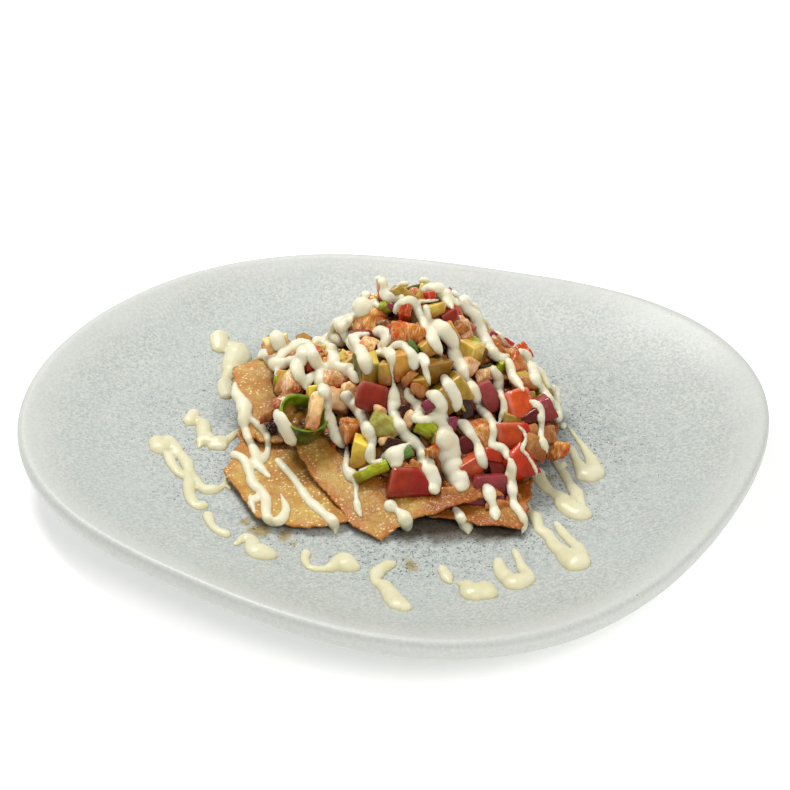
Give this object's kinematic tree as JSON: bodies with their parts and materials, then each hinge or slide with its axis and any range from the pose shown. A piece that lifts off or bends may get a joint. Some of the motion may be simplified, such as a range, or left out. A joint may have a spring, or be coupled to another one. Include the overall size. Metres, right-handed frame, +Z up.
{
  "type": "plate of seafood tostada",
  "caption": "Shallow hand-shaped stoneware plate with fried dough sheets under a heap of diced seafood and vegetables, thick pale sauce drizzled over the food and the plate.",
  "frame": {"origin": "on the table, under the middle of the plate's bounding box", "axes": "+Z up, +X to the right along the plate's longest extent, +Y away from the front"},
  "size_m": [0.2864, 0.2606, 0.0639],
  "materials": {
    "glaze": "satin pale grey glaze with dark specks",
    "fried_sheet": "golden blistered fried dough",
    "cream": "thick pale sauce, softly glossy",
    "heap": "moist diced seafood and vegetables"
  },
  "bodies": {
    "root": {"plate": "glaze", "crisp_front_left": "fried_sheet", "crisp_front_right": "fried_sheet", "crisp_back": "fried_sheet", "crisp_back_right": "fried_sheet", "crisp_right": "fried_sheet", "crisp_back_left": "fried_sheet", "crisp_front": "fried_sheet", "seafood_heap": "heap", "cream_far_left": "cream", "cream_left_edge": "cream", "cream_left": "cream", "cream_near_left_streak": "cream", "cream_near_left": "cream", "cream_near": "cream", "cream_front": "cream", "cream_drop_front": "cream", "cream_drop_right": "cream", "cream_near_right": "cream", "cream_right_long": "cream", "cream_right": "cream", "cream_far_right": "cream"}
  },
  "joints": []
}
